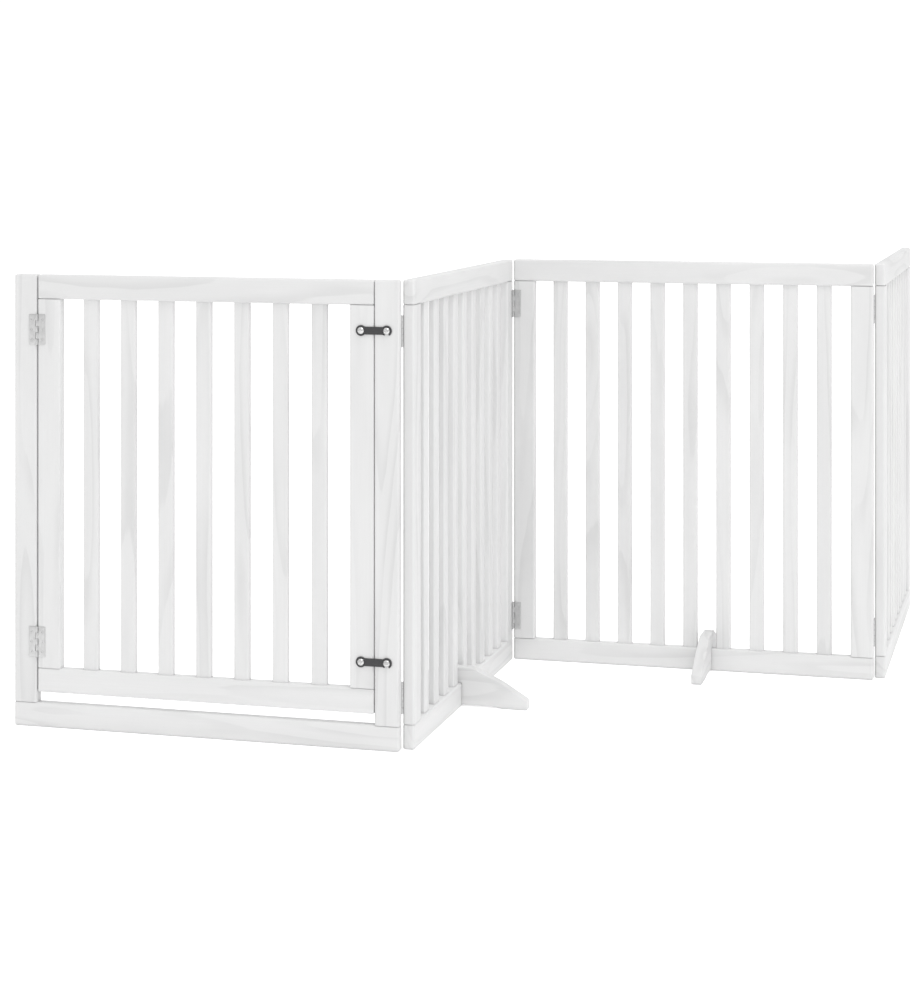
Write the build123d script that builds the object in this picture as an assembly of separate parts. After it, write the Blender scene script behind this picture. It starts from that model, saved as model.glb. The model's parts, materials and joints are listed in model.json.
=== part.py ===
from build123d import *

import math
import os

# A free-standing pet gate: four equal wooden panels hinged into a zigzag, the first one a frame
# with a slatted door, the other three slatted panels, two of them steadied by slotted feet.
# All sizes are millimetres. Z is up, Y runs from the door side to the far side.

# Panels
PANEL_WIDTH = 622.0
PANEL_HEIGHT = 700.0
PANEL_SLATS = 9
DOOR_SLATS = 7
DOOR_HINGE_GAP = 1.3  # between the door and the post that carries it
DOOR_LATCH_GAP = 0.6  # between the door and the other post
DOOR_THRESHOLD_GAP = 16.0  # between the base rail and the door

# Timber: rails, stiles, posts and feet are planed from one size of board
BOARD_WIDTH = 38.0
BOARD_THICKNESS = 18.0
BOARD_EDGE = min(3.4, BOARD_THICKNESS / 4)  # rounding of every exposed edge
SLAT_WIDTH = 25.0
SLAT_THICKNESS = 10.0
SLAT_EDGE = min(2.5, SLAT_THICKNESS / 4)
MORTISE_DEPTH = 12.0
MORTISE_FIT = 0.1  # clearance on each side of a slat
TENON_RELIEF = 1.0  # glue space under a slat's end

# Dowels that hold the stiles and posts to the rails
DOWEL_RADIUS = 3.0
DOWEL_LENGTH = 36.0
DOWEL_SPACING = 18.0
DOWEL_FIT = 0.1
DOWEL_RELIEF = 1.0
DOWEL_CHAMFER = 0.6

# Butt hinges
HINGE_HEIGHT = 47.0
LEAF_REACH = 13.5  # from the pin to the leaf's free edge
LEAF_THICKNESS = 0.8
LEAF_CORNER = 1.0
PIN_RADIUS = 0.9
PIN_FIT = 0.05
PIN_PROUD = 0.4  # how far the rounded ends of a pin stand out
KNUCKLES = 5
KNUCKLE_GAP = 0.3
LEAF_PLAY = 0.7  # between a leaf's edge and the other leaf's knuckles
BARREL_RADIUS = PIN_RADIUS + PIN_FIT + LEAF_THICKNESS
BARREL_PLAY = 0.1  # between a barrel and the rounded edges that it lies between
CORNER_GAP = 0.2  # between two panels that stand in line
CORNER_HINGE_INSET = 77.0  # hinge centre from the floor and from the top
DOOR_HINGE_TOP_INSET = 85.0
DOOR_HINGE_BOTTOM_INSET = 78.0  # above the door's lower edge

# Countersunk hinge screws
HINGE_SCREWS = 3
HINGE_SCREW_PITCH = 15.5
HINGE_SCREW_LINE = 8.6  # from the pin
HINGE_SCREW_STAGGER = 1.0  # how far the middle screw sits further out
HINGE_SCREW_HEAD = 2.25
HINGE_SCREW_SHANK = 1.4
HINGE_SCREW_LENGTH = 9.0
HINGE_SCREW_RIM = 0.1
HINGE_SCREW_PROUD = 0.15
SCREW_TIP = 2.5
SCREW_FIT = 0.05

# Turn latches
LATCH_SPACING = 40.0  # pivot screw to catch screw
LATCH_END = 8.0  # radius of both round ends
LATCH_BAR = 11.5
LATCH_NECK = 3.0
LATCH_THICKNESS = 1.6
LATCH_EDGE = 0.35
LATCH_PLAY = 0.3  # under and over the plate
LATCH_PIVOT_FIT = 0.1
LATCH_SLOT = 6.0
LATCH_TINE = 1.0
LATCH_TOP_INSET = 75.5
LATCH_BOTTOM_INSET = 77.5  # above the door's lower edge
LATCH_SCREW_SHANK = 2.0
LATCH_SCREW_HEAD = 5.0
LATCH_SCREW_DOME = 2.4
LATCH_SCREW_RIM = 0.7
LATCH_SCREW_LENGTH = 8.0

# Cross recesses in the screw heads
RECESS_WIDTH = 0.9
RECESS_SHARE = 1.15  # length over head radius
RECESS_DEPTH = 0.7

# Slotted feet
FOOT_LENGTH = 234.0
FOOT_CROWN = 48.0  # flat length on top
FOOT_BRIDGE = 25.0  # wood over the rail
FOOT_SHOULDER_REACH = 72.0
FOOT_SHOULDER_DROP = 20.5
FOOT_TOE = 15.5
FOOT_PAD = 42.0
FOOT_RAMP = 18.0
FOOT_ARCH = 3.0
FOOT_FIT = 0.3
FOOT_EDGE = 2.0
FOOT_CORNERS = (12.0, 60.0, 5.0, 3.5, 20.0, 20.0)  # crown, shoulder, toe top, toe end, pad, arch
FOOT_GAPS = {"panel_2": 4, "panel_3": 5}  # the gap between slats, counted from 0, that holds a foot

# Worked out from the sizes above
DOOR_WIDTH = PANEL_WIDTH - 2 * BOARD_WIDTH - DOOR_HINGE_GAP - DOOR_LATCH_GAP
DOOR_BOTTOM = BOARD_WIDTH + DOOR_THRESHOLD_GAP
DOOR_HEIGHT = PANEL_HEIGHT - DOOR_BOTTOM
DOOR_LEFT = BOARD_WIDTH + DOOR_HINGE_GAP
DOOR_PIN = BOARD_WIDTH + DOOR_HINGE_GAP / 2
PIN_TO_ROUNDING = BARREL_RADIUS + BARREL_PLAY + BOARD_EDGE  # to the centre of a board's rounded edge
ROUNDING_ASIDE = CORNER_GAP / 2 + BOARD_EDGE
PIN_STAND = math.sqrt(PIN_TO_ROUNDING**2 - ROUNDING_ASIDE**2) - BOARD_EDGE  # pin above the wood
CORNER_OFFSET = CORNER_GAP / 2 + PIN_STAND
SPAN = 2 * PANEL_WIDTH + 2 * BOARD_THICKNESS + 3 * CORNER_OFFSET
LATCH_HEAD_SEAT = LATCH_THICKNESS + 2 * LATCH_PLAY
FRONT_REACH = max(PIN_STAND + BARREL_RADIUS, LATCH_HEAD_SEAT + LATCH_SCREW_RIM + LATCH_SCREW_DOME)
CORNER_HINGE_HEIGHTS = (CORNER_HINGE_INSET, PANEL_HEIGHT - CORNER_HINGE_INSET)
DOOR_HINGE_HEIGHTS = (DOOR_BOTTOM + DOOR_HINGE_BOTTOM_INSET, PANEL_HEIGHT - DOOR_HINGE_TOP_INSET)
LATCH_HEIGHTS = {
    "lower": DOOR_BOTTOM + LATCH_BOTTOM_INSET,
    "upper": PANEL_HEIGHT - LATCH_TOP_INSET,
}
LATCH_PIVOT_X = PANEL_WIDTH - BOARD_WIDTH - DOOR_LATCH_GAP / 2 - LATCH_SPACING / 2
LATCH_CATCH_X = LATCH_PIVOT_X + LATCH_SPACING


# Where the panels stand. Each panel is modelled with its left lower front corner at its own
# origin, X along its width and Y through its thickness, and is then set down at its place.
def panel_places():
    """Place of each panel and of the pin line at each corner, with the gate centred on the origin."""
    across = CORNER_OFFSET + BOARD_THICKNESS
    x1 = -SPAN / 2
    y1 = (FRONT_REACH - SPAN) / 2
    x2 = x1 + PANEL_WIDTH + across
    y2 = y1 + across
    x3 = x2 + CORNER_OFFSET
    y3 = y2 + PANEL_WIDTH + CORNER_OFFSET
    x4 = x3 + PANEL_WIDTH + across
    y4 = y3 + across
    places = {
        "panel_1": Pos(x1, y1, 0),
        "panel_2": Pos(x2, y2, 0) * Rot(0, 0, 90),
        "panel_3": Pos(x3, y3, 0),
        "panel_4": Pos(x4, y4, 0) * Rot(0, 0, 90),
    }
    behind = BOARD_THICKNESS + PIN_STAND
    past_end = PANEL_WIDTH + CORNER_GAP / 2
    pins = {
        "door": (x1 + DOOR_PIN, y1 - PIN_STAND),
        "corner_1": (x1 + past_end, y1 + behind),
        "corner_2": (x2 + PIN_STAND, y2 + past_end),
        "corner_3": (x3 + past_end, y3 + behind),
    }
    return places, pins


def on_face(x, z, side):
    """Frame on a panel's face: its X runs along the panel and its Z points out of the wood."""
    if side == "front":
        return Pos(x, 0, z) * Rot(90, 0, 0)
    return Pos(x, BOARD_THICKNESS, z) * Rot(-90, 0, 0)


# Timber
def upright(length, rounded_top=False):
    """A stile or post standing on z = 0, with its long edges rounded."""
    wood = Pos(BOARD_WIDTH / 2, BOARD_THICKNESS / 2, length / 2) * Box(BOARD_WIDTH, BOARD_THICKNESS, length)
    edges = wood.edges().filter_by(Axis.Z)
    if rounded_top:
        edges += wood.edges().group_by(Axis.Z)[-1]
    return fillet(edges, BOARD_EDGE)


def dowel_points(centre_x):
    """The two dowel positions on each side of an upright's centre line."""
    half = DOWEL_SPACING / 2
    return [Pos(centre_x - half, BOARD_THICKNESS / 2), Pos(centre_x + half, BOARD_THICKNESS / 2)]


def dowel_hole():
    """Hole for half a dowel, centred on the face that it enters."""
    return Cylinder(DOWEL_RADIUS + DOWEL_FIT, DOWEL_LENGTH + 2 * DOWEL_RELIEF)


def dowel():
    """A wooden dowel centred on the joint that it pins."""
    peg = Cylinder(DOWEL_RADIUS, DOWEL_LENGTH)
    return chamfer(peg.edges().filter_by(GeomType.CIRCLE), DOWEL_CHAMFER)


def stile(length):
    """An upright with dowel holes in both ends."""
    wood = upright(length)
    for point in dowel_points(BOARD_WIDTH / 2):
        wood -= point * dowel_hole()
        wood -= point * Pos(0, 0, length) * dowel_hole()
    return wood


def post(length):
    """An upright of the door frame: dowelled below, rounded on top."""
    wood = upright(length, rounded_top=True)
    for point in dowel_points(BOARD_WIDTH / 2):
        wood -= point * dowel_hole()
    return wood


def slat(length, spread=0.0):
    """A slat standing on z = 0, centred on its own axis; spread widens it all round for a mortise."""
    width = SLAT_WIDTH + 2 * spread
    thickness = SLAT_THICKNESS + 2 * spread
    wood = Pos(0, 0, length / 2) * Box(width, thickness, length)
    return fillet(wood.edges().filter_by(Axis.Z), SLAT_EDGE + spread)


def rail(length, slat_centres, upright_centres):
    """A rail lying along X with its mortises and dowel holes open upwards."""
    wood = Pos(length / 2, BOARD_THICKNESS / 2, BOARD_WIDTH / 2) * Box(length, BOARD_THICKNESS, BOARD_WIDTH)
    wood = fillet(wood.edges(), BOARD_EDGE)
    for x in slat_centres:
        mortise = slat(2 * MORTISE_DEPTH, MORTISE_FIT)
        wood -= Pos(x, BOARD_THICKNESS / 2, BOARD_WIDTH - MORTISE_DEPTH) * mortise
    for x in upright_centres:
        for point in dowel_points(x):
            wood -= point * Pos(0, 0, BOARD_WIDTH) * dowel_hole()
    return wood


def slat_gap(width, count):
    """Clear gap between slats that stand evenly between two stiles."""
    return (width - 2 * BOARD_WIDTH - count * SLAT_WIDTH) / (count + 1)


def slat_centres(width, count):
    """X of each slat's centre line."""
    pitch = slat_gap(width, count) + SLAT_WIDTH
    return [BOARD_WIDTH + pitch * (index + 1) - SLAT_WIDTH / 2 for index in range(count)]


def slatted_panel(width, height, count):
    """The wooden pieces of a slatted panel or of the door, standing on z = 0."""
    centres = slat_centres(width, count)
    uprights = (BOARD_WIDTH / 2, width - BOARD_WIDTH / 2)
    lower = rail(width, centres, uprights)
    turned_over = Pos(0, BOARD_THICKNESS, height) * Rot(180, 0, 0)
    stile_length = height - 2 * BOARD_WIDTH
    slat_length = stile_length + 2 * (MORTISE_DEPTH - TENON_RELIEF)
    slat_foot = BOARD_WIDTH - MORTISE_DEPTH + TENON_RELIEF
    left = Pos(0, 0, BOARD_WIDTH) * stile(stile_length)
    joints = [
        Pos(0, 0, z) * point
        for z in (BOARD_WIDTH, height - BOARD_WIDTH)
        for x in uprights
        for point in dowel_points(x)
    ]
    return {
        "bottom_rail": lower,
        "top_rail": turned_over * lower,
        "left_stile": left,
        "right_stile": Pos(width - BOARD_WIDTH, 0, 0) * left,
        "slats": [Pos(x, BOARD_THICKNESS / 2, slat_foot) * slat(slat_length) for x in centres],
        "dowels": [joint * dowel() for joint in joints],
    }


def door_frame():
    """The posts, base rail and dowels that carry the door."""
    posts = (BOARD_WIDTH / 2, PANEL_WIDTH - BOARD_WIDTH / 2)
    left = Pos(0, 0, BOARD_WIDTH) * post(PANEL_HEIGHT - BOARD_WIDTH)
    return {
        "base_rail": rail(PANEL_WIDTH, (), posts),
        "left_post": left,
        "right_post": Pos(PANEL_WIDTH - BOARD_WIDTH, 0, 0) * left,
        "dowels": [Pos(0, 0, BOARD_WIDTH) * point * dowel() for x in posts for point in dowel_points(x)],
    }


def drilled(wood, frames, radius, length):
    """Wood with a pilot hole along -Z of each frame."""
    for frame in frames:
        wood -= frame * Pos(0, 0, -length / 2) * Cylinder(radius + SCREW_FIT, length + 2 * SCREW_FIT)
    return wood


# Screws, modelled with the wood's face at z = 0 and the shank going down
def turned(outline):
    """The solid that an outline of radius and height sweeps around Z."""
    return revolve(Rot(90, 0, 0) * make_face(outline), Axis.Z)


def cross_recess(head_radius, top):
    """The cross that a driver fits, sunk from the top of a head."""
    arm = Box(head_radius * RECESS_SHARE, RECESS_WIDTH, 2 * RECESS_DEPTH)
    return Pos(0, 0, top) * (arm + Rot(0, 0, 90) * arm)


def hinge_screw():
    """A countersunk screw through a hinge leaf."""
    top = LEAF_THICKNESS + HINGE_SCREW_PROUD
    neck = top - HINGE_SCREW_RIM - (HINGE_SCREW_HEAD - HINGE_SCREW_SHANK)
    outline = Polyline(
        (0, top),
        (HINGE_SCREW_HEAD, top),
        (HINGE_SCREW_HEAD, top - HINGE_SCREW_RIM),
        (HINGE_SCREW_SHANK, neck),
        (HINGE_SCREW_SHANK, SCREW_TIP - HINGE_SCREW_LENGTH),
        (0, -HINGE_SCREW_LENGTH),
        close=True,
    )
    return turned(outline) - cross_recess(HINGE_SCREW_HEAD, top)


def latch_screw():
    """A round-headed screw whose head stands off the wood by the plate and its play."""
    seat = LATCH_HEAD_SEAT
    rim = seat + LATCH_SCREW_RIM
    top = rim + LATCH_SCREW_DOME
    lines = Polyline(
        (0, top),
        (0, -LATCH_SCREW_LENGTH),
        (LATCH_SCREW_SHANK, SCREW_TIP - LATCH_SCREW_LENGTH),
        (LATCH_SCREW_SHANK, seat),
        (LATCH_SCREW_HEAD, seat),
        (LATCH_SCREW_HEAD, rim),
    )
    crown_radius = (LATCH_SCREW_HEAD**2 + LATCH_SCREW_DOME**2) / (2 * LATCH_SCREW_DOME)
    crown_turn = math.degrees(math.asin(LATCH_SCREW_HEAD / crown_radius))
    crown = CenterArc((0, top - crown_radius), crown_radius, 90 - crown_turn, crown_turn)
    return turned(lines + crown) - cross_recess(LATCH_SCREW_HEAD, top)


# Butt hinges, modelled on a face: the face is z = 0, the pin runs along Y over x = 0, low between
# the rounded edges of the boards, and the leaf lies towards -X
def knuckle_section():
    """Section of a knuckle and of the strip that joins it to its leaf."""
    reach = BARREL_RADIUS + LEAF_PLAY + LEAF_THICKNESS
    strip = Pos(-reach / 2, LEAF_THICKNESS / 2) * Rectangle(reach, LEAF_THICKNESS)
    barrel = Pos(0, PIN_STAND) * Circle(BARREL_RADIUS)
    return strip + barrel - Pos(0, PIN_STAND) * Circle(PIN_RADIUS + PIN_FIT)


def hinge_screw_points():
    """Frames of a leaf's screws on the face."""
    middle = (HINGE_SCREWS - 1) / 2
    points = []
    for index in range(HINGE_SCREWS):
        stagger = HINGE_SCREW_STAGGER if index == middle else 0
        points.append(Pos(-HINGE_SCREW_LINE - stagger, (index - middle) * HINGE_SCREW_PITCH, 0))
    return points


def hinge_leaf(knuckles):
    """A leaf with the knuckles whose numbers are given, counted up from the lower end."""
    inner = BARREL_RADIUS + LEAF_PLAY
    width = LEAF_REACH - inner
    plate = Pos(-inner - width / 2, 0, LEAF_THICKNESS / 2) * Box(width, HINGE_HEIGHT, LEAF_THICKNESS)
    outer_corners = plate.edges().filter_by(Axis.Z).group_by(Axis.X)[0]
    leaf = fillet(outer_corners, LEAF_CORNER)
    pitch = (HINGE_HEIGHT + KNUCKLE_GAP) / KNUCKLES
    length = pitch - KNUCKLE_GAP
    section = Rot(90, 0, 0) * knuckle_section()
    for index in knuckles:
        end = -HINGE_HEIGHT / 2 + index * pitch
        leaf += Pos(0, end, 0) * extrude(section, length, dir=(0, 1, 0))
    sink = HINGE_SCREW_HEAD - HINGE_SCREW_SHANK
    rim = LEAF_THICKNESS + HINGE_SCREW_PROUD - HINGE_SCREW_RIM
    cone = Pos(0, 0, rim - sink / 2) * Cone(HINGE_SCREW_SHANK + SCREW_FIT, HINGE_SCREW_HEAD + SCREW_FIT, sink)
    mouth = Pos(0, 0, rim + HINGE_SCREW_PROUD) * Cylinder(HINGE_SCREW_HEAD + SCREW_FIT, 2 * HINGE_SCREW_PROUD)
    hole = Cylinder(HINGE_SCREW_SHANK + SCREW_FIT, 2 * LEAF_THICKNESS)
    for point in hinge_screw_points():
        leaf -= point * (cone + mouth + hole)
    return leaf


def hinge_pin():
    """The pin that runs through all knuckles, with rounded ends."""
    pin = Cylinder(PIN_RADIUS, HINGE_HEIGHT + 2 * PIN_PROUD)
    pin = fillet(pin.edges().filter_by(GeomType.CIRCLE), PIN_PROUD)
    return Pos(0, 0, PIN_STAND) * Rot(90, 0, 0) * pin


FIXED_KNUCKLES = tuple(range(0, KNUCKLES, 2))
MOVING_KNUCKLES = tuple(range(1, KNUCKLES, 2))
REVERSED = Rot(0, 0, 180)  # turns a leaf to the other side of its pin


# Turn latches, modelled on a face like the hinges, with the pivot at the origin
def latch_plate():
    """The plate: a ring on the pivot screw, a bar, and a hook that drops over the catch screw."""
    ends = Circle(LATCH_END) + Pos(LATCH_SPACING, 0) * Circle(LATCH_END)
    outline = ends + Pos(LATCH_SPACING / 2, 0) * Rectangle(LATCH_SPACING, LATCH_BAR)
    outline = fillet(outline.vertices(), LATCH_NECK)
    mouth = Pos(LATCH_SPACING, -LATCH_END / 2) * Rectangle(LATCH_SLOT, LATCH_END)
    outline -= mouth + Pos(LATCH_SPACING, 0) * Circle(LATCH_SLOT / 2)
    tips = outline.vertices().group_by(Axis.Y)[0]
    outline = fillet(tips, LATCH_TINE)
    outline -= Circle(LATCH_SCREW_SHANK + LATCH_PIVOT_FIT)
    plate = extrude(outline, LATCH_THICKNESS)
    rims = plate.edges().group_by(Axis.Z)[0] + plate.edges().group_by(Axis.Z)[-1]
    return Pos(0, 0, LATCH_PLAY) * chamfer(rims, LATCH_EDGE)


# Feet, modelled along X and centred on the rail that they straddle
def foot():
    """A foot: a sloping plank with a slot for the rail and a shallow arch between two pads."""
    height = BOARD_WIDTH + FOOT_FIT + FOOT_BRIDGE
    end = FOOT_LENGTH / 2
    half = [
        (FOOT_CROWN / 2, height),
        (FOOT_SHOULDER_REACH, height - FOOT_SHOULDER_DROP),
        (end, FOOT_TOE),
        (end, 0),
        (end - FOOT_PAD, 0),
        (end - FOOT_PAD - FOOT_RAMP, FOOT_ARCH),
    ]
    other_half = [(-x, z) for x, z in reversed(half)]
    radii = list(FOOT_CORNERS) + list(reversed(FOOT_CORNERS))
    outline = FilletPolyline(*half, *other_half, radius=radii, close=True)
    plank = extrude(Rot(90, 0, 0) * make_face(outline), BOARD_THICKNESS / 2, both=True)
    faces = plank.faces().filter_by(Axis.Y)
    plank = fillet(faces.edges(), FOOT_EDGE)
    slot = Box(BOARD_THICKNESS + 2 * FOOT_FIT, 2 * BOARD_THICKNESS, 2 * (BOARD_WIDTH + FOOT_FIT))
    return plank - slot


# The gate, node by node
def panel_hinge_places(side, pin_x, heights, towards_left):
    """Frames of the hinge leaves on one side of a panel's pin line."""
    turn = Pos(0, 0, 0) if towards_left else REVERSED
    return [on_face(pin_x, z, side) * turn for z in heights]


def with_hinges(wood, places):
    """An upright drilled for the leaves at these places."""
    frames = [place * point for place in places for point in hinge_screw_points()]
    return drilled(wood, frames, HINGE_SCREW_SHANK, HINGE_SCREW_LENGTH)


def screws_for(places):
    """The screws of the leaves at these places."""
    return [place * point * hinge_screw() for place in places for point in hinge_screw_points()]


def gate_nodes():
    """Every node of the gate by name, as a list of solids in the gate's frame."""
    places, _ = panel_places()
    nodes = {}

    def put(name, panel, solids):
        nodes[name] = [places[panel] * solid for solid in solids]

    past_right = PANEL_WIDTH + CORNER_GAP / 2
    past_left = -CORNER_GAP / 2
    right_end = {
        "panel_1": panel_hinge_places("back", past_right, CORNER_HINGE_HEIGHTS, True),
        "panel_2": panel_hinge_places("front", past_right, CORNER_HINGE_HEIGHTS, True),
        "panel_3": panel_hinge_places("back", past_right, CORNER_HINGE_HEIGHTS, True),
    }
    left_end = {
        "panel_2": panel_hinge_places("back", past_left, CORNER_HINGE_HEIGHTS, False),
        "panel_3": panel_hinge_places("front", past_left, CORNER_HINGE_HEIGHTS, False),
        "panel_4": panel_hinge_places("back", past_left, CORNER_HINGE_HEIGHTS, False),
    }
    post_leaves = panel_hinge_places("front", DOOR_PIN, DOOR_HINGE_HEIGHTS, True)
    door_leaves = panel_hinge_places("front", DOOR_PIN, DOOR_HINGE_HEIGHTS, False)

    frame = door_frame()
    catches = [on_face(LATCH_CATCH_X, z, "front") for z in LATCH_HEIGHTS.values()]
    right_post = with_hinges(frame["right_post"], right_end["panel_1"])
    right_post = drilled(right_post, catches, LATCH_SCREW_SHANK, LATCH_SCREW_LENGTH)
    put("frame_left_post", "panel_1", [with_hinges(frame["left_post"], post_leaves)])
    put("frame_right_post", "panel_1", [right_post])
    put("frame_base_rail", "panel_1", [frame["base_rail"]])
    put("frame_dowels", "panel_1", frame["dowels"])
    put("frame_hinge_screws", "panel_1", screws_for(post_leaves + right_end["panel_1"]))
    put("latch_catch_screws", "panel_1", [catch * latch_screw() for catch in catches])

    door_place = Pos(DOOR_LEFT, 0, DOOR_BOTTOM)
    door = slatted_panel(DOOR_WIDTH, DOOR_HEIGHT, DOOR_SLATS)
    pivots = {name: on_face(LATCH_PIVOT_X, z, "front") for name, z in LATCH_HEIGHTS.items()}
    door_right = door_place * door["right_stile"]
    door_right = drilled(door_right, pivots.values(), LATCH_SCREW_SHANK, LATCH_SCREW_LENGTH)
    put("door_top_rail", "panel_1", [door_place * door["top_rail"]])
    put("door_bottom_rail", "panel_1", [door_place * door["bottom_rail"]])
    put("door_left_stile", "panel_1", [with_hinges(door_place * door["left_stile"], door_leaves)])
    put("door_right_stile", "panel_1", [door_right])
    for number, wood in enumerate(door["slats"], start=1):
        put(f"door_slat_{number}", "panel_1", [door_place * wood])
    put("door_dowels", "panel_1", [door_place * peg for peg in door["dowels"]])
    put("door_hinge_screws", "panel_1", screws_for(door_leaves))
    put("latch_pivot_screws", "panel_1", [pivot * latch_screw() for pivot in pivots.values()])
    for name, pivot in pivots.items():
        put(f"{name}_latch_hook", "panel_1", [pivot * latch_plate()])

    for panel in ("panel_2", "panel_3", "panel_4"):
        pieces = slatted_panel(PANEL_WIDTH, PANEL_HEIGHT, PANEL_SLATS)
        right_leaves = right_end.get(panel, [])
        put(f"{panel}_top_rail", panel, [pieces["top_rail"]])
        put(f"{panel}_base_rail", panel, [pieces["bottom_rail"]])
        put(f"{panel}_left_stile", panel, [with_hinges(pieces["left_stile"], left_end[panel])])
        put(f"{panel}_right_stile", panel, [with_hinges(pieces["right_stile"], right_leaves)])
        put(f"{panel}_slats", panel, pieces["slats"])
        put(f"{panel}_dowels", panel, pieces["dowels"])
        put(f"{panel}_hinge_screws", panel, screws_for(left_end[panel] + right_leaves))

    fixed_leaf = hinge_leaf(FIXED_KNUCKLES)
    moving_leaf = hinge_leaf(MOVING_KNUCKLES)
    put("door_hinge_post_leaves", "panel_1", [place * fixed_leaf for place in post_leaves])
    put("door_hinge_door_leaves", "panel_1", [place * moving_leaf for place in door_leaves])
    put("door_hinge_pins", "panel_1", [place * hinge_pin() for place in post_leaves])
    for number in (1, 2, 3):
        before = f"panel_{number}"
        after = f"panel_{number + 1}"
        fixed = right_end[before]
        put(f"corner_{number}_fixed_leaves", before, [place * fixed_leaf for place in fixed])
        put(f"corner_{number}_moving_leaves", after, [place * moving_leaf for place in left_end[after]])
        put(f"corner_{number}_hinge_pins", before, [place * hinge_pin() for place in fixed])

    pitch = slat_gap(PANEL_WIDTH, PANEL_SLATS) + SLAT_WIDTH
    for panel, gap in FOOT_GAPS.items():
        middle = BOARD_WIDTH + gap * pitch + slat_gap(PANEL_WIDTH, PANEL_SLATS) / 2
        across = Pos(middle, BOARD_THICKNESS / 2, 0) * Rot(0, 0, 90)
        put(f"{panel}_foot", panel, [across * foot()])
    return nodes


def main():
    """Write one STEP file for each node."""
    os.makedirs("parts", exist_ok=True)
    for name, solids in gate_nodes().items():
        shape = solids[0] if len(solids) == 1 else Compound(children=solids)
        export_step(shape, f"parts/{name}.step")


main()
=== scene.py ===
"""Looks of a free-standing wooden pet gate.

White painted boards, zinc-plated butt hinges, black turn latches and their screws, on a pale studio floor.
All lengths are metres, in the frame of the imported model.
"""

import json
import logging
import math
from dataclasses import dataclass, field
from enum import Enum

import bmesh
import bpy
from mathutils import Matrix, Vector

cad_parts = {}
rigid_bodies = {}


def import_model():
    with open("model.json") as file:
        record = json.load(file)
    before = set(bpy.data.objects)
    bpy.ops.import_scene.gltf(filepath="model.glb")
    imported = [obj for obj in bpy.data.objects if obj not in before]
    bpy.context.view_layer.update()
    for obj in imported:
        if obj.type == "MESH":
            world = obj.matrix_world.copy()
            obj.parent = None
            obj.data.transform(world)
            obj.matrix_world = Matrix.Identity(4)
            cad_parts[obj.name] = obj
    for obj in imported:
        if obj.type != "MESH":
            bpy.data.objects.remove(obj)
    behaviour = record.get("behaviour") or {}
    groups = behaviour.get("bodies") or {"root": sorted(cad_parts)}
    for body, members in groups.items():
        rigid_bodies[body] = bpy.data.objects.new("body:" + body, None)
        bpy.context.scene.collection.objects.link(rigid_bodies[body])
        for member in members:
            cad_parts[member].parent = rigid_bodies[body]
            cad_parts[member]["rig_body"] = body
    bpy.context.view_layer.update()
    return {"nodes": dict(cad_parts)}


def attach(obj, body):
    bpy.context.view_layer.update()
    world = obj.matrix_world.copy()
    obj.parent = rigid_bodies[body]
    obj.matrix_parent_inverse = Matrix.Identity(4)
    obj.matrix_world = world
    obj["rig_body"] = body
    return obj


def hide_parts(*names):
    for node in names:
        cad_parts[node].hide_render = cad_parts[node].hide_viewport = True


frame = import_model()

MM = 0.001
LOG = logging.getLogger("pet_gate")

Socket = bpy.types.NodeSocket
Feed = Socket | float | tuple[float, ...]


class Grain(Enum):
    """Direction in which a board's grain runs, as the turn that lays it along local Z."""

    ALONG_X = (0.0, -math.pi / 2, 0.0)
    ALONG_Y = (math.pi / 2, 0.0, 0.0)
    ALONG_Z = (0.0, 0.0, 0.0)


class Finish(Enum):
    """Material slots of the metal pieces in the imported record."""

    HINGE = "hinge_steel"
    SCREW = "screw_steel"
    LATCH_SCREW = "latch_screw_steel"
    LATCH = "latch_black"


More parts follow.
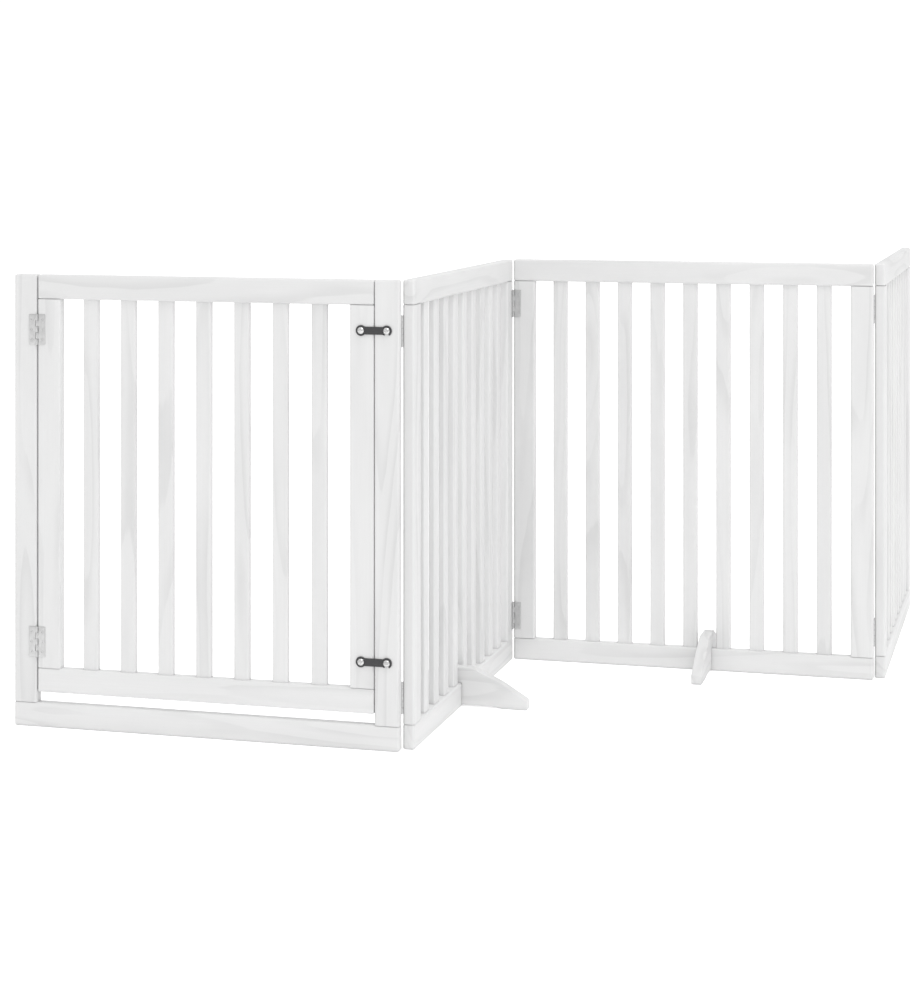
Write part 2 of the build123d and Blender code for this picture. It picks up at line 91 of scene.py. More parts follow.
class Graph:
    """Short calls for building one shader tree."""

    def __init__(self, tree: bpy.types.NodeTree) -> None:
        """Takes over a tree and empties it.

        Args:
            tree: the node tree to fill.
        """
        self.tree = tree
        tree.nodes.clear()

    def feed(self, socket: Socket, value: Feed) -> None:
        """Links a socket or sets its constant.

        Args:
            socket: the input to feed.
            value: another node's output, a number or a tuple.
        """
        if isinstance(value, Socket):
            self.tree.links.new(value, socket)
        else:
            socket.default_value = value

    def node(
        self, kind: str, feeds: dict[str | int, Feed] | None = None, **settings: object
    ) -> bpy.types.Node:
        """Adds a node.

        Args:
            kind: the node's type name without its ShaderNode prefix.
            feeds: what goes into its inputs, by name or number.
            settings: its own properties.

        Returns:
            The new node.
        """
        node = self.tree.nodes.new(f"ShaderNode{kind}")
        for name, value in settings.items():
            setattr(node, name, value)
        for key, value in (feeds or {}).items():
            self.feed(node.inputs[key], value)
        return node

    def math(self, operation: str, a: Feed, b: Feed = 0.0, clamp: bool = False) -> Socket:
        """Works out one sum.

        Args:
            operation: the Math node's operation.
            a: first value.
            b: second value.
            clamp: whether the result stays from 0 to 1.

        Returns:
            The result.
        """
        return self.node("Math", {0: a, 1: b}, operation=operation, use_clamp=clamp).outputs[0]

    def stretched(self, vector: Feed, by: tuple[float, float, float]) -> Socket:
        """Scales a vector by three shares and returns it."""
        return self.node("VectorMath", {0: vector, 1: by}, operation="MULTIPLY").outputs[0]

    def noise(self, vector: Feed, scale: Feed, detail: float = 3.0, roughness: float = 0.55) -> Socket:
        """Adds smooth noise.

        Args:
            vector: where it is read.
            scale: features per metre.
            detail: how many finer layers it has.
            roughness: how strong they are.

        Returns:
            The noise, about 0.2 to 0.8.
        """
        feeds = {"Vector": vector, "Scale": scale, "Detail": detail, "Roughness": roughness}
        return self.node("TexNoise", feeds).outputs["Fac"]

    def band(self, value: Feed, low: Feed, high: Feed, out_low: Feed = 0.0, out_high: Feed = 1.0) -> Socket:
        """Maps a range of values smoothly to another.

        Args:
            value: the value to map.
            low: input that gives out_low.
            high: input that gives out_high.
            out_low: output at the low end.
            out_high: output at the high end.

        Returns:
            The mapped value.
        """
        feeds = {"Value": value, "From Min": low, "From Max": high, "To Min": out_low, "To Max": out_high}
        return self.node("MapRange", feeds, interpolation_type="SMOOTHSTEP").outputs[0]

    def mixed(self, share: Feed, a: Feed, b: Feed) -> Socket:
        """Mixes two colours.

        Args:
            share: how much of the second shows.
            a: first colour.
            b: second colour.

        Returns:
            The mixed colour.
        """
        node = self.node("Mix", data_type="RGBA")
        for socket, value in zip((node.inputs[0], node.inputs[6], node.inputs[7]), (share, a, b)):
            self.feed(socket, value)
        return node.outputs[2]

    def effect(self, group: bpy.types.NodeTree, feeds: dict[str, Feed]) -> bpy.types.Node:
        """Places a shared effect.

        Args:
            group: the effect's node group.
            feeds: its inputs by name.

        Returns:
            The group node.
        """
        node = self.tree.nodes.new("ShaderNodeGroup")
        node.node_tree = group
        for name, value in feeds.items():
            self.feed(node.inputs[name], value)
        return node


class Effect:
    """A node group that several materials share, built the first time it is asked for."""

    name = "effect"
    inputs: tuple[tuple[str, str, float], ...] = ()
    outputs: tuple[tuple[str, str], ...] = ()

    def group(self) -> bpy.types.NodeTree:
        """Returns the effect's node group, building it if it isn't there yet."""
        found = bpy.data.node_groups.get(self.name)
        if found:
            return found
        tree = bpy.data.node_groups.new(self.name, "ShaderNodeTree")
        for name, kind, value in self.inputs:
            socket = tree.interface.new_socket(name=name, in_out="INPUT", socket_type=f"NodeSocket{kind}")
            if kind == "Float":
                socket.default_value = value
        for name, kind in self.outputs:
            tree.interface.new_socket(name=name, in_out="OUTPUT", socket_type=f"NodeSocket{kind}")
        graph = Graph(tree)
        entry = tree.nodes.new("NodeGroupInput")
        leave = tree.nodes.new("NodeGroupOutput")
        made = self.build(graph, {name: entry.outputs[name] for name, _, _ in self.inputs})
        for name, socket in made.items():
            graph.feed(leave.inputs[name], socket)
        return tree

    def build(self, graph: Graph, given: dict[str, Socket]) -> dict[str, Socket]:
        """Fills the group.

        Args:
            graph: the group's tree.
            given: the group's inputs by name.

        Returns:
            What feeds the group's outputs, by name.
        """
        raise NotImplementedError


class TimberFigure(Effect):
    """Growth rings, fibres, slow tone changes and knots of a sawn board whose grain runs along local Z."""

    name = "timber_figure"
    inputs = (
        ("Vector", "Vector", 0.0),
        ("Ring Spread", "Float", 17.0),
        ("Ring Count", "Float", 7.0),
        ("Fibre Scale", "Float", 620.0),
        ("Knot Scale", "Float", 4.6),
    )
    outputs = (("Rings", "Float"), ("Fibres", "Float"), ("Tone", "Float"), ("Knots", "Float"))
    knot_rim = (0.03, 0.13)
    knot_pull = (0.02, 0.34)
    knot_lift = 0.32
    wander_scale = 70.0
    wander_share = 0.05
    late_start = 0.45
    late_end = 0.93
    tone_scale = 16.0

    def build(self, graph: Graph, given: dict[str, Socket]) -> dict[str, Socket]:
        """Fills the group with contour lines of stretched noise, as flat-sawn boards show.

        Args:
            graph: the group's tree.
            given: the group's inputs by name.

        Returns:
            Rings, Fibres, Tone and Knots, each from 0 to 1.
        """
        place = given["Vector"]
        knot_cell = graph.node(
            "TexVoronoi",
            {"Vector": graph.stretched(place, (1.0, 1.0, 0.34)), "Scale": given["Knot Scale"]},
            feature="F1",
        )
        nearness = knot_cell.outputs["Distance"]
        knots = graph.band(nearness, *self.knot_rim, 1.0, 0.0)
        pull = graph.math("MULTIPLY", graph.band(nearness, *self.knot_pull, 1.0, 0.0), self.knot_lift)
        slow = graph.noise(graph.stretched(place, (1.0, 1.0, 0.075)), given["Ring Spread"], 1.0, 0.35)
        wander = graph.noise(graph.stretched(place, (1.0, 1.0, 0.12)), self.wander_scale, 2.0, 0.5)
        waved = graph.math("MULTIPLY", wander, self.wander_share)
        height = graph.math("ADD", graph.math("ADD", slow, pull), waved)
        phase = graph.math("MULTIPLY", height, given["Ring Count"])
        saw = graph.math("FRACT", phase)
        late = graph.band(saw, self.late_start, self.late_end)
        early = graph.band(saw, self.late_end, 1.0, 1.0, 0.0)
        rings = graph.math("MULTIPLY", late, early)
        fibres = graph.noise(graph.stretched(place, (1.0, 1.0, 0.022)), given["Fibre Scale"], 3.0, 0.6)
        tone = graph.noise(graph.stretched(place, (1.0, 1.0, 0.22)), self.tone_scale, 2.0, 0.5)
        return {
            "Rings": rings,
            "Fibres": graph.band(fibres, 0.28, 0.72),
            "Tone": graph.band(tone, 0.3, 0.7),
            "Knots": knots,
        }


class EdgeWear(Effect):
    """Mask of edges that hands and knocks have rubbed, broken up by noise."""

    name = "edge_wear"
    inputs = (("Vector", "Vector", 0.0), ("Radius", "Float", 0.002), ("Breakup Scale", "Float", 160.0))
    outputs = (("Edge", "Float"), ("Wear", "Float"))

    def build(self, graph: Graph, given: dict[str, Socket]) -> dict[str, Socket]:
        """Compares the rounded normal with the real one.

        Args:
            graph: the group's tree.
            given: the group's inputs by name.

        Returns:
            Edge, the plain edge mask, and Wear, the same broken up.
        """
        rounded = graph.node("Bevel", {"Radius": given["Radius"]}, samples=4)
        real = graph.node("NewGeometry")
        feeds = {0: rounded.outputs["Normal"], 1: real.outputs["Normal"]}
        same = graph.node("VectorMath", feeds, operation="DOT_PRODUCT").outputs["Value"]
        edge = graph.band(same, 0.72, 0.985, 1.0, 0.0)
        patches = graph.band(graph.noise(given["Vector"], given["Breakup Scale"], 3.0, 0.65), 0.46, 0.66)
        return {"Edge": edge, "Wear": graph.math("MULTIPLY", edge, patches, clamp=True)}


class JointShade(Effect):
    """Mask of inner corners, joints, gaps and recesses, found by ambient occlusion: painted shade for the
    colours, and the places where dust stays.
    """

    name = "joint_shade"
    inputs = (("Vector", "Vector", 0.0), ("Reach", "Float", 0.006))
    outputs = (("Shade", "Float"), ("Dust", "Float"))

    def build(self, graph: Graph, given: dict[str, Socket]) -> dict[str, Socket]:
        """Measures how enclosed each place is.

        Args:
            graph: the group's tree.
            given: the group's inputs by name.

        Returns:
            Shade, the enclosed places, which the materials use as painted shade, and Dust, the same with a
            fleck pattern.
        """
        closed = graph.node("AmbientOcclusion", {"Distance": given["Reach"]}, samples=6, only_local=False)
        shade = graph.band(closed.outputs["AO"], 0.4, 0.85, 1.0, 0.0)
        flecks = graph.band(graph.noise(given["Vector"], 420.0, 4.0, 0.7), 0.42, 0.68)
        return {"Shade": shade, "Dust": graph.math("MULTIPLY", shade, flecks, clamp=True)}


class RolledMetal(Effect):
    """Fine rolling lines, crystal patches and handling marks of plated sheet steel."""

    name = "rolled_metal"
    inputs = (("Vector", "Vector", 0.0), ("Line Scale", "Float", 2600.0), ("Patch Scale", "Float", 380.0))
    outputs = (("Lines", "Float"), ("Patches", "Float"), ("Smears", "Float"))

    def build(self, graph: Graph, given: dict[str, Socket]) -> dict[str, Socket]:
        """Draws lines along local Z over crystal patches.

        Args:
            graph: the group's tree.
            given: the group's inputs by name.

        Returns:
            Lines, Patches and Smears, each from 0 to 1.
        """
        place = given["Vector"]
        lines = graph.noise(graph.stretched(place, (1.0, 1.0, 0.03)), given["Line Scale"], 2.0, 0.6)
        feeds = {"Vector": place, "Scale": given["Patch Scale"]}
        cells = graph.node("TexVoronoi", feeds, feature="F1")
        tint = graph.node("SeparateColor", {0: cells.outputs["Color"]}).outputs[0]
        smears = graph.noise(place, 120.0, 4.0, 0.6)
        return {
            "Lines": graph.band(lines, 0.3, 0.7),
            "Patches": tint,
            "Smears": graph.band(smears, 0.35, 0.7),
        }


@dataclass(frozen=True)
class PaintedTimber:
    """White paint over softwood whose figure still shows through, with painted shade darkening its enclosed
    corners, joints and gaps.
    """

    name: str
    grain: Grain
    paint: tuple[float, float, float, float] = (0.77, 0.77, 0.77, 1.0)
    ring_tint: tuple[float, float, float, float] = (0.66, 0.66, 0.66, 1.0)
    knot_tint: tuple[float, float, float, float] = (0.665, 0.66, 0.655, 1.0)
    # Painted shade: grey towards which enclosed corners, gaps and the slats just under the rails are
    # darkened; its share and occlusion reach follow below.
    painted_shade_tint: tuple[float, float, float, float] = (0.48, 0.48, 0.48, 1.0)
    edge_tint: tuple[float, float, float, float] = (0.82, 0.82, 0.82, 1.0)
    ring_share: tuple[float, float] = (0.2, 0.85)
    fibre_share: float = 0.12
    tone_share: float = 0.36
    knot_share: float = 0.7
    painted_shade_share: float = 0.45
    wear_share: float = 0.5
    roughness: float = 0.46
    fibre_roughness: float = 0.10
    edge_polish: float = 0.06
    edge_radius: float = 2.0 * MM
    shade_reach: float = 9.0 * MM
    bump: float = 0.09
    bump_height: float = 0.25 * MM
    fibre_relief: float = 0.55
    ring_relief: float = -0.5
    stroke_relief: float = 0.8
    stroke_stretch: tuple[float, float, float] = (1.0, 1.0, 0.05)
    stroke_scale: float = 240.0
    coat: float = 0.12
    coat_roughness: float = 0.35

    def build(self) -> bpy.types.Material:
        """Returns the material, built once."""
        found = bpy.data.materials.get(self.name)
        if found:
            return found
        material = bpy.data.materials.new(self.name)
        material.use_nodes = True
        graph = Graph(material.node_tree)
        raw = graph.node("TexCoord").outputs["Object"]
        place = graph.node("Mapping", {"Vector": raw, "Rotation": self.grain.value}).outputs[0]
        figure = graph.effect(TimberFigure().group(), {"Vector": place})
        wear = graph.effect(EdgeWear().group(), {"Vector": place, "Radius": self.edge_radius})
        shade_and_dust = graph.effect(JointShade().group(), {"Vector": place, "Reach": self.shade_reach})
        rings, fibres, tone, knots = (figure.outputs[n] for n in ("Rings", "Fibres", "Tone", "Knots"))
        toned = graph.math("MULTIPLY", rings, graph.band(tone, 0.0, 1.0, *self.ring_share))
        colour = graph.mixed(toned, self.paint, self.ring_tint)
        colour = graph.mixed(graph.math("MULTIPLY", fibres, self.fibre_share), colour, self.ring_tint)
        colour = graph.mixed(graph.math("MULTIPLY", tone, self.tone_share), colour, self.ring_tint)
        colour = graph.mixed(graph.math("MULTIPLY", knots, self.knot_share), colour, self.knot_tint)
        # Painted shade: the paint is darkened in enclosed corners, joints and gaps, and on the slats just
        # under the rails.
        shaded = graph.math("MULTIPLY", shade_and_dust.outputs["Shade"], self.painted_shade_share)
        colour = graph.mixed(shaded, colour, self.painted_shade_tint)
        rubbed = graph.math("MULTIPLY", wear.outputs["Wear"], self.wear_share)
        colour = graph.mixed(rubbed, colour, self.edge_tint)
        gloss = graph.math("ADD", self.roughness, graph.math("MULTIPLY", fibres, self.fibre_roughness))
        polish = graph.math("MULTIPLY", wear.outputs["Edge"], self.edge_polish)
        gloss = graph.math("SUBTRACT", gloss, polish)
        raised = graph.math("MULTIPLY", fibres, self.fibre_relief)
        relief = graph.math("ADD", raised, graph.math("MULTIPLY", rings, self.ring_relief))
        stroke = graph.noise(graph.stretched(place, self.stroke_stretch), self.stroke_scale, 2.0, 0.5)
        relief = graph.math("ADD", relief, graph.math("MULTIPLY", stroke, self.stroke_relief))
        feeds = {"Strength": self.bump, "Distance": self.bump_height, "Height": relief}
        normal = graph.node("Bump", feeds).outputs[0]
        feeds = {"Base Color": colour, "Roughness": gloss, "Normal": normal, "Coat Weight": self.coat}
        shader = graph.node("BsdfPrincipled", feeds)
        shader.inputs["Coat Roughness"].default_value = self.coat_roughness
        graph.node("OutputMaterial", {0: shader.outputs[0]})
        return material


@dataclass(frozen=True)
class DowelTimber:
    """Bare beech of the dowels."""

    name: str = "dowel_beech"
    light: tuple[float, float, float, float] = (0.62, 0.42, 0.26, 1.0)
    dark: tuple[float, float, float, float] = (0.44, 0.27, 0.15, 1.0)
    ring_count: float = 12.0
    fibre_scale: float = 900.0
    ring_share: float = 0.6
    fibre_share: float = 0.4
    bump: float = 0.3
    bump_height: float = 0.1 * MM
    roughness: tuple[float, float] = (0.55, 0.75)

    def build(self) -> bpy.types.Material:
        """Returns the material, built once."""
        material = bpy.data.materials.new(self.name)
        material.use_nodes = True
        graph = Graph(material.node_tree)
        place = graph.node("TexCoord").outputs["Object"]
        feeds = {"Vector": place, "Ring Count": self.ring_count, "Fibre Scale": self.fibre_scale}
        figure = graph.effect(TimberFigure().group(), feeds)
        share = graph.math("MULTIPLY", figure.outputs["Rings"], self.ring_share)
        fibres = graph.math("MULTIPLY", figure.outputs["Fibres"], self.fibre_share)
        share = graph.math("ADD", share, fibres, clamp=True)
        feeds = {"Strength": self.bump, "Distance": self.bump_height, "Height": figure.outputs["Fibres"]}
        normal = graph.node("Bump", feeds).outputs[0]
        feeds = {
            "Base Color": graph.mixed(share, self.light, self.dark),
            "Roughness": graph.band(figure.outputs["Fibres"], 0.0, 1.0, *self.roughness),
            "Normal": normal,
        }
        graph.node("OutputMaterial", {0: graph.node("BsdfPrincipled", feeds).outputs[0]})
        return material


@dataclass(frozen=True)
class PlatedSteel:
    """Steel under bright zinc or nickel, with rolling lines, rubbed edges and painted shade darkening its
    recesses.
    """

    name: str
    plate: tuple[float, float, float, float]
    dull: tuple[float, float, float, float]
    # Painted shade: near-black towards which recesses and crevices are darkened.
    recess_shade_tint: tuple[float, float, float, float] = (0.10, 0.10, 0.10, 1.0)
    rubbed: tuple[float, float, float, float] = (0.86, 0.86, 0.86, 1.0)
    patch_share: float = 0.5
    smear_share: float = 0.35
    rubbed_share: float = 0.6
    recess_shade_share: float = 0.75
    roughness: float = 0.36
    smear_roughness: float = 0.12
    dust_roughness: float = 0.3
    bump: float = 0.12
    bump_height: float = 0.05 * MM
    edge_radius: float = 0.3 * MM
    edge_breakup: float = 700.0
    recess_reach: float = 0.5 * MM
    metallic: float = 1.0

    def build(self) -> bpy.types.Material:
        """Returns the material, built once."""
        material = bpy.data.materials.new(self.name)
        material.use_nodes = True
        graph = Graph(material.node_tree)
        place = graph.node("TexCoord").outputs["Object"]
        sheet = graph.effect(RolledMetal().group(), {"Vector": place})
        feeds = {"Vector": place, "Radius": self.edge_radius, "Breakup Scale": self.edge_breakup}
        wear = graph.effect(EdgeWear().group(), feeds)
        shade_and_dust = graph.effect(JointShade().group(), {"Vector": place, "Reach": self.recess_reach})
        colour = self.plate
        for mask, share, tint in (
            (sheet.outputs["Patches"], self.patch_share, self.dull),
            (sheet.outputs["Smears"], self.smear_share, self.dull),
            (wear.outputs["Wear"], self.rubbed_share, self.rubbed),
            # Painted shade: recesses and crevices darkened by the occlusion mask.
            (shade_and_dust.outputs["Shade"], self.recess_shade_share, self.recess_shade_tint),
        ):
            colour = graph.mixed(graph.math("MULTIPLY", mask, share), colour, tint)
        smeared = graph.math("MULTIPLY", sheet.outputs["Smears"], self.smear_roughness)
        rough = graph.math("ADD", self.roughness, smeared)
        dusty = graph.math("MULTIPLY", shade_and_dust.outputs["Dust"], self.dust_roughness)
        rough = graph.math("ADD", rough, dusty, clamp=True)
        feeds = {"Strength": self.bump, "Distance": self.bump_height, "Height": sheet.outputs["Lines"]}
        normal = graph.node("Bump", feeds).outputs[0]
        feeds = {"Base Color": colour, "Roughness": rough, "Normal": normal, "Metallic": self.metallic}
        graph.node("OutputMaterial", {0: graph.node("BsdfPrincipled", feeds).outputs[0]})
        return material


@dataclass(frozen=True)
class BlackCoat:
    """Dark powder coat with an orange-peel skin, thin and greyer on the edges."""

    name: str = "latch_powder_coat"
    coat: tuple[float, float, float, float] = (0.040, 0.040, 0.042, 1.0)
    pale: tuple[float, float, float, float] = (0.065, 0.065, 0.068, 1.0)
    bare: tuple[float, float, float, float] = (0.27, 0.27, 0.27, 1.0)
    bare_share: float = 0.55
    roughness: float = 0.5
    dust_roughness: float = 0.25
    peel_roughness: float = 0.1
    peel_scale: float = 1500.0
    speck_scale: float = 2600.0
    edge_radius: float = 0.3 * MM
    edge_breakup: float = 900.0
    recess_reach: float = 0.6 * MM
    bump: float = 0.3
    bump_height: float = 0.06 * MM

    def build(self) -> bpy.types.Material:
        """Returns the material, built once."""
        material = bpy.data.materials.new(self.name)
        material.use_nodes = True
        graph = Graph(material.node_tree)
        place = graph.node("TexCoord").outputs["Object"]
        feeds = {"Vector": place, "Radius": self.edge_radius, "Breakup Scale": self.edge_breakup}
        wear = graph.effect(EdgeWear().group(), feeds)
        shade_and_dust = graph.effect(JointShade().group(), {"Vector": place, "Reach": self.recess_reach})
        peel = graph.noise(place, self.peel_scale, 2.0, 0.5)
        specks = graph.band(graph.noise(place, self.speck_scale, 2.0, 0.7), 0.5, 0.75)
        colour = graph.mixed(specks, self.coat, self.pale)
        rubbed = graph.math("MULTIPLY", wear.outputs["Wear"], self.bare_share)
        colour = graph.mixed(rubbed, colour, self.bare)
        dusty = graph.math("MULTIPLY", shade_and_dust.outputs["Dust"], self.dust_roughness)
        rough = graph.math("ADD", self.roughness, dusty)
        rough = graph.math("ADD", rough, graph.math("MULTIPLY", peel, self.peel_roughness))
        feeds = {"Strength": self.bump, "Distance": self.bump_height, "Height": peel}
        normal = graph.node("Bump", feeds).outputs[0]
        feeds = {"Base Color": colour, "Roughness": rough, "Normal": normal}
        graph.node("OutputMaterial", {0: graph.node("BsdfPrincipled", feeds).outputs[0]})
        return material


@dataclass(frozen=True)
class FloorFinish:
    """Pale studio floor with a faint mottle, glowing as a light table does."""

    name: str = "studio_floor"
    pale: tuple[float, float, float, float] = (0.93, 0.93, 0.93, 1.0)
    mottle: tuple[float, float, float, float] = (0.90, 0.90, 0.90, 1.0)
    glow: float = 0.6
    cast: float = 0.25
    roughness: float = 0.8
    mottle_scale: float = 2.0

    def build(self) -> bpy.types.Material:
        """Returns the material, built once."""
        material = bpy.data.materials.new(self.name)
        material.use_nodes = True
        graph = Graph(material.node_tree)
        place = graph.node("TexCoord").outputs["Object"]
        cloud = graph.band(graph.noise(place, self.mottle_scale, 4.0, 0.6), 0.35, 0.65)
        colour = graph.mixed(cloud, self.pale, self.mottle)
        seen = graph.node("LightPath").outputs["Is Camera Ray"]
        glow = graph.band(seen, 0.0, 1.0, self.cast, self.glow)
        feeds = {
            "Base Color": colour,
            "Roughness": self.roughness,
            "Emission Color": self.pale,
            "Emission Strength": glow,
        }
        graph.node("OutputMaterial", {0: graph.node("BsdfPrincipled", feeds).outputs[0]})
        return material


def dress(node: str, material: bpy.types.Material) -> None:
    """Gives a CAD node its material in every slot.

    Args:
        node: the CAD node's name.
        material: what it is made of.
    """
    shown = frame["nodes"][node]
    for place in shown.material_slots:
        place.material = material
    LOG.info("dressed %s in %s", node, material.name)


@dataclass
class SlattedPanel:
    """One slatted panel: two rails, two stiles and nine slats between them."""

    name: str
    rail_grain: Grain

    def dress(self) -> None:
        """Gives each board paint whose figure runs along it."""
        along = PaintedTimber(f"paint_{self.rail_grain.name.lower()}", self.rail_grain).build()
        up = PaintedTimber("paint_along_z", Grain.ALONG_Z).build()
        for rail in ("top_rail", "base_rail"):
            dress(f"{self.name}_{rail}", along)
        for board in ("left_stile", "right_stile", "slats"):
            dress(f"{self.name}_{board}", up)


@dataclass
class DoorPanel:
    """The door frame and the door that hangs in it."""

    slats: int = 7
    rails: tuple[str, ...] = ("frame_base_rail", "door_top_rail", "door_bottom_rail")
    uprights: tuple[str, ...] = (
        "frame_left_post",
        "frame_right_post",
        "door_left_stile",
        "door_right_stile",
    )

    def dress(self) -> None:
        """Gives each board paint whose figure runs along it."""
        along = PaintedTimber("paint_along_x", Grain.ALONG_X).build()
        up = PaintedTimber("paint_along_z", Grain.ALONG_Z).build()
        for rail in self.rails:
            dress(rail, along)
        slats = tuple(f"door_slat_{number}" for number in range(1, self.slats + 1))
        for board in self.uprights + slats:
            dress(board, up)


@dataclass
class SlottedFoot:
    """A foot sawn from a board, with its grain along its length."""

    node: str
    grain: Grain

    def dress(self) -> None:
        """Gives the foot paint whose figure runs along it."""
        dress(self.node, PaintedTimber(f"paint_{self.grain.name.lower()}", self.grain).build())


@dataclass
class Hardware:
    """Metal pieces whose pressed or turned edges are broken a little, as the real ones are."""

    nodes: tuple[str, ...]
    slot: Finish
    material: bpy.types.Material
    edge: float = 0.12 * MM
    merge: float = 0.002 * MM
    crease: float = math.radians(38)
    flat: float = math.radians(0.5)
    rounds: int = 2

    def build(self) -> None:
        """Makes each piece, puts it on its body and lets it stand for its CAD node."""
        for node in self.nodes:
            piece = self.softened(node)
            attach(piece, frame["nodes"][node]["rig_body"])
            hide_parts(node)
            LOG.info("built %s, %d faces", piece.name, len(piece.data.polygons))

    def softened(self, node: str) -> bpy.types.Object:
        """Makes a copy of a node's shape with its sharp edges broken.

        Args:
            node: the CAD node's name.

        Returns:
            The new piece.
        """
        mesh = frame["nodes"][node].data.copy()
        mesh.name = f"{node}_detail"
        shape = bmesh.new()
        shape.from_mesh(mesh)
        bmesh.ops.remove_doubles(shape, verts=shape.verts, dist=self.merge)
        bmesh.ops.dissolve_limit(
            shape, angle_limit=self.flat, verts=shape.verts, edges=shape.edges, delimit=set()
        )
        sharp = [edge for edge in shape.edges if edge.calc_face_angle(0.0) > self.crease]
        bmesh.ops.bevel(
            shape,
            geom=sharp,
            offset=self.edge,
            offset_type="OFFSET",
            segments=self.rounds,
            profile=0.5,
            clamp_overlap=True,
            affect="EDGES",
        )
        for face in shape.faces:
            face.smooth = True
        shape.to_mesh(mesh)
        shape.free()
        mesh.materials.clear()
        mesh.materials.append(self.material)
        piece = bpy.data.objects.new(f"{node}_detail", mesh)
        bpy.context.scene.collection.objects.link(piece)
        return piece


@dataclass
class Studio:
    """Floor, lights and camera."""

    floor_size: float = 40.0
    floor_cells: int = 24
    camera_place: tuple[float, float, float] = (0.94213, -3.87483, 0.9019)
    camera_turn: float = math.radians(14.946)
    focal_length: float = 82.023
    frame_shift: float = -0.356
    wall_light: float = 0.77
    ceiling_light: float = 0.97
    room_white: float = 1.05
    sensor: float = 36.0
    view_depth: float = 100.0
    white: tuple[float, float, float, float] = (1.0, 1.0, 1.0, 1.0)
    gate_middle: tuple[float, float, float] = (0.0, 0.0, 0.35)
    key_bearing: float = math.radians(-42.0)
    key_height: float = math.radians(62.0)
    key_distance: float = 7.0
    key_size: float = 2.2
    key_power: float = 125.0

    def build(self) -> None:
        """Sets up the whole studio."""
        self.floor()
        self.lights()
        self.camera()
        view = bpy.context.scene.view_settings
        view.view_transform = "Standard"
        LOG.info("studio ready")

    def floor(self) -> None:
        """Lays a wide flat floor under the gate."""
        shape = bmesh.new()
        cells = self.floor_cells
        bmesh.ops.create_grid(shape, x_segments=cells, y_segments=cells, size=self.floor_size / 2)
        mesh = bpy.data.meshes.new("studio_floor")
        shape.to_mesh(mesh)
        shape.free()
        mesh.materials.append(FloorFinish().build())
        floor = bpy.data.objects.new("studio_floor", mesh)
        bpy.context.scene.collection.objects.link(floor)

    def lights(self) -> None:
        """Sets a white room, brighter towards its ceiling, and one large soft lamp high on the right."""
        world = bpy.data.worlds.new("studio_room")
        world.use_nodes = True
        graph = Graph(world.node_tree)
        towards = graph.node("TexCoord").outputs["Generated"]
        height = graph.node("SeparateXYZ", {0: towards}).outputs["Z"]
        feeds = {"Value": height, "To Min": self.wall_light, "To Max": self.ceiling_light}
        light = graph.node("MapRange", feeds).outputs[0]
        room = graph.node("Background", {"Color": self.white, "Strength": light})
        seen = graph.node("Background", {"Color": self.white, "Strength": self.room_white})
        path = graph.node("LightPath")
        feeds = {0: path.outputs["Is Camera Ray"], 1: room.outputs[0], 2: seen.outputs[0]}
        mix = graph.node("MixShader", feeds)
        graph.node("OutputWorld", {0: mix.outputs[0]})
        bpy.context.scene.world = world
        flat = self.key_distance * math.cos(self.key_height)
        reach = Vector((flat * math.cos(self.key_bearing), flat * math.sin(self.key_bearing), 0.0))
        reach.z = self.key_distance * math.sin(self.key_height)
        self.lamp("key_lamp", Vector(self.gate_middle) + reach, self.key_size, self.key_power)

    def lamp(self, name: str, place: Vector, size: float, power: float) -> None:
        """Hangs one square soft lamp that faces the middle of the gate.

        Args:
            name: the lamp's name.
            place: where it hangs.
            size: length of its side.
            power: its output in watts.
        """
        light = bpy.data.lights.new(name, "AREA")
        light.shape = "SQUARE"
        light.size = size
        light.energy = power
        lamp = bpy.data.objects.new(name, light)
        lamp.location = place
        lamp.rotation_euler = (Vector(self.gate_middle) - place).to_track_quat("-Z", "Y").to_euler()
        bpy.context.scene.collection.objects.link(lamp)

    def camera(self) -> None:
        """Sets the level camera that looks over the gate from the right."""
        lens = bpy.data.cameras.new("studio_camera")
        lens.sensor_fit = "AUTO"
        lens.sensor_width = self.sensor
        lens.lens = self.focal_length
        lens.shift_y = self.frame_shift
        lens.clip_end = self.view_depth
        camera = bpy.data.objects.new("studio_camera", lens)
        camera.location = self.camera_place
        camera.rotation_euler = (math.pi / 2, 0.0, self.camera_turn)
        bpy.context.scene.collection.objects.link(camera)
        bpy.context.scene.camera = camera


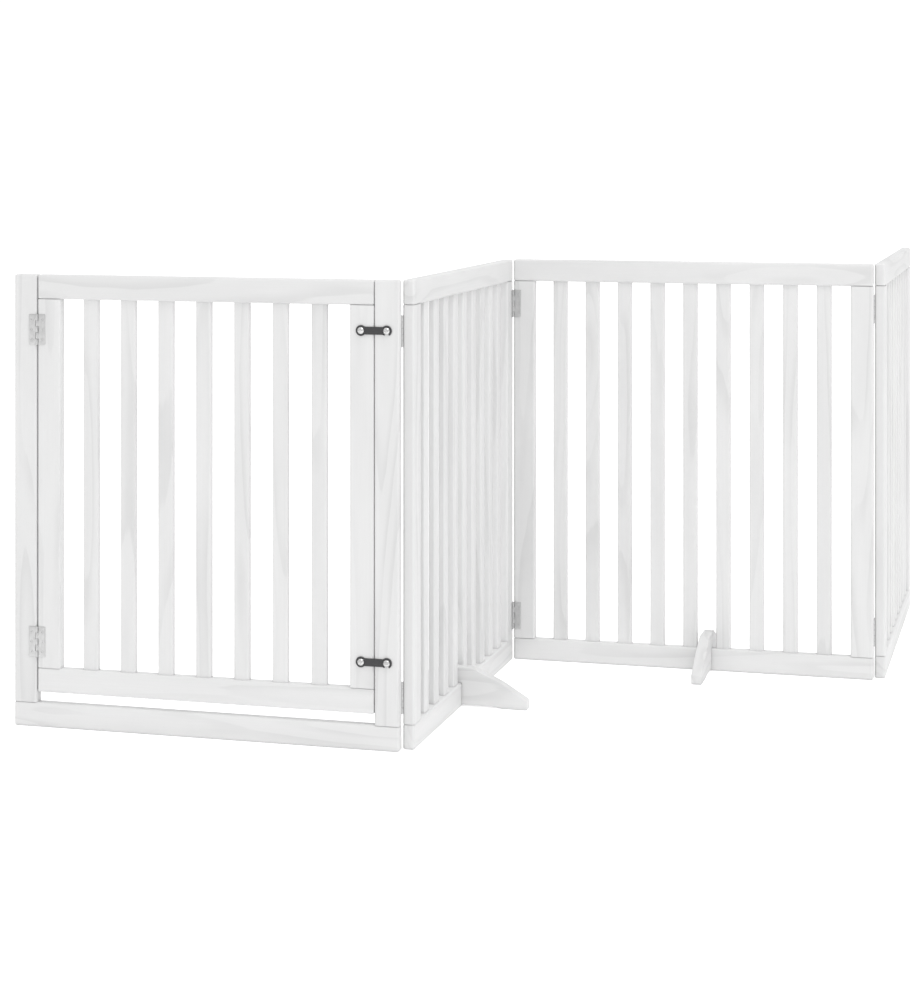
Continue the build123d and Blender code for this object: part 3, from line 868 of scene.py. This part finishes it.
@dataclass
class PetGate:
    """The whole gate."""

    panels: tuple[SlattedPanel, ...] = (
        SlattedPanel("panel_2", Grain.ALONG_Y),
        SlattedPanel("panel_3", Grain.ALONG_X),
        SlattedPanel("panel_4", Grain.ALONG_Y),
    )
    door: DoorPanel = field(default_factory=DoorPanel)
    feet: tuple[SlottedFoot, ...] = (
        SlottedFoot("panel_2_foot", Grain.ALONG_X),
        SlottedFoot("panel_3_foot", Grain.ALONG_Y),
    )
    dowels: tuple[str, ...] = (
        "frame_dowels",
        "door_dowels",
        "panel_2_dowels",
        "panel_3_dowels",
        "panel_4_dowels",
    )
    hinge_nodes: tuple[str, ...] = (
        "door_hinge_post_leaves",
        "door_hinge_door_leaves",
        "door_hinge_pins",
        "corner_1_fixed_leaves",
        "corner_1_moving_leaves",
        "corner_1_hinge_pins",
        "corner_2_fixed_leaves",
        "corner_2_moving_leaves",
        "corner_2_hinge_pins",
        "corner_3_fixed_leaves",
        "corner_3_moving_leaves",
        "corner_3_hinge_pins",
    )
    screw_nodes: tuple[str, ...] = (
        "frame_hinge_screws",
        "door_hinge_screws",
        "panel_2_hinge_screws",
        "panel_3_hinge_screws",
        "panel_4_hinge_screws",
    )
    latch_screw_nodes: tuple[str, ...] = ("latch_pivot_screws", "latch_catch_screws")
    latch_nodes: tuple[str, ...] = ("upper_latch_hook", "lower_latch_hook")

    def build(self) -> None:
        """Dresses the boards and builds the metal pieces."""
        self.door.dress()
        for panel in self.panels:
            panel.dress()
        for foot in self.feet:
            foot.dress()
        beech = DowelTimber().build()
        for node in self.dowels:
            dress(node, beech)
        zinc = PlatedSteel(
            "hinge_zinc", plate=(0.66, 0.66, 0.66, 1.0), dull=(0.58, 0.58, 0.58, 1.0), roughness=0.42
        ).build()
        bright = PlatedSteel(
            "screw_zinc", plate=(0.68, 0.68, 0.68, 1.0), dull=(0.55, 0.55, 0.55, 1.0), roughness=0.3
        ).build()
        nickel = PlatedSteel(
            "latch_screw_nickel", plate=(0.74, 0.74, 0.74, 1.0), dull=(0.6, 0.6, 0.6, 1.0), roughness=0.25
        ).build()
        Hardware(self.hinge_nodes, Finish.HINGE, zinc).build()
        Hardware(self.screw_nodes, Finish.SCREW, bright, edge=0.06 * MM).build()
        Hardware(self.latch_screw_nodes, Finish.LATCH_SCREW, nickel, edge=0.08 * MM).build()
        Hardware(self.latch_nodes, Finish.LATCH, BlackCoat().build()).build()


def main() -> None:
    """Builds the gate, then the studio."""
    logging.basicConfig(level=logging.INFO, format="%(name)s: %(message)s")
    PetGate().build()
    Studio().build()


if __name__ == "__main__":
    main()
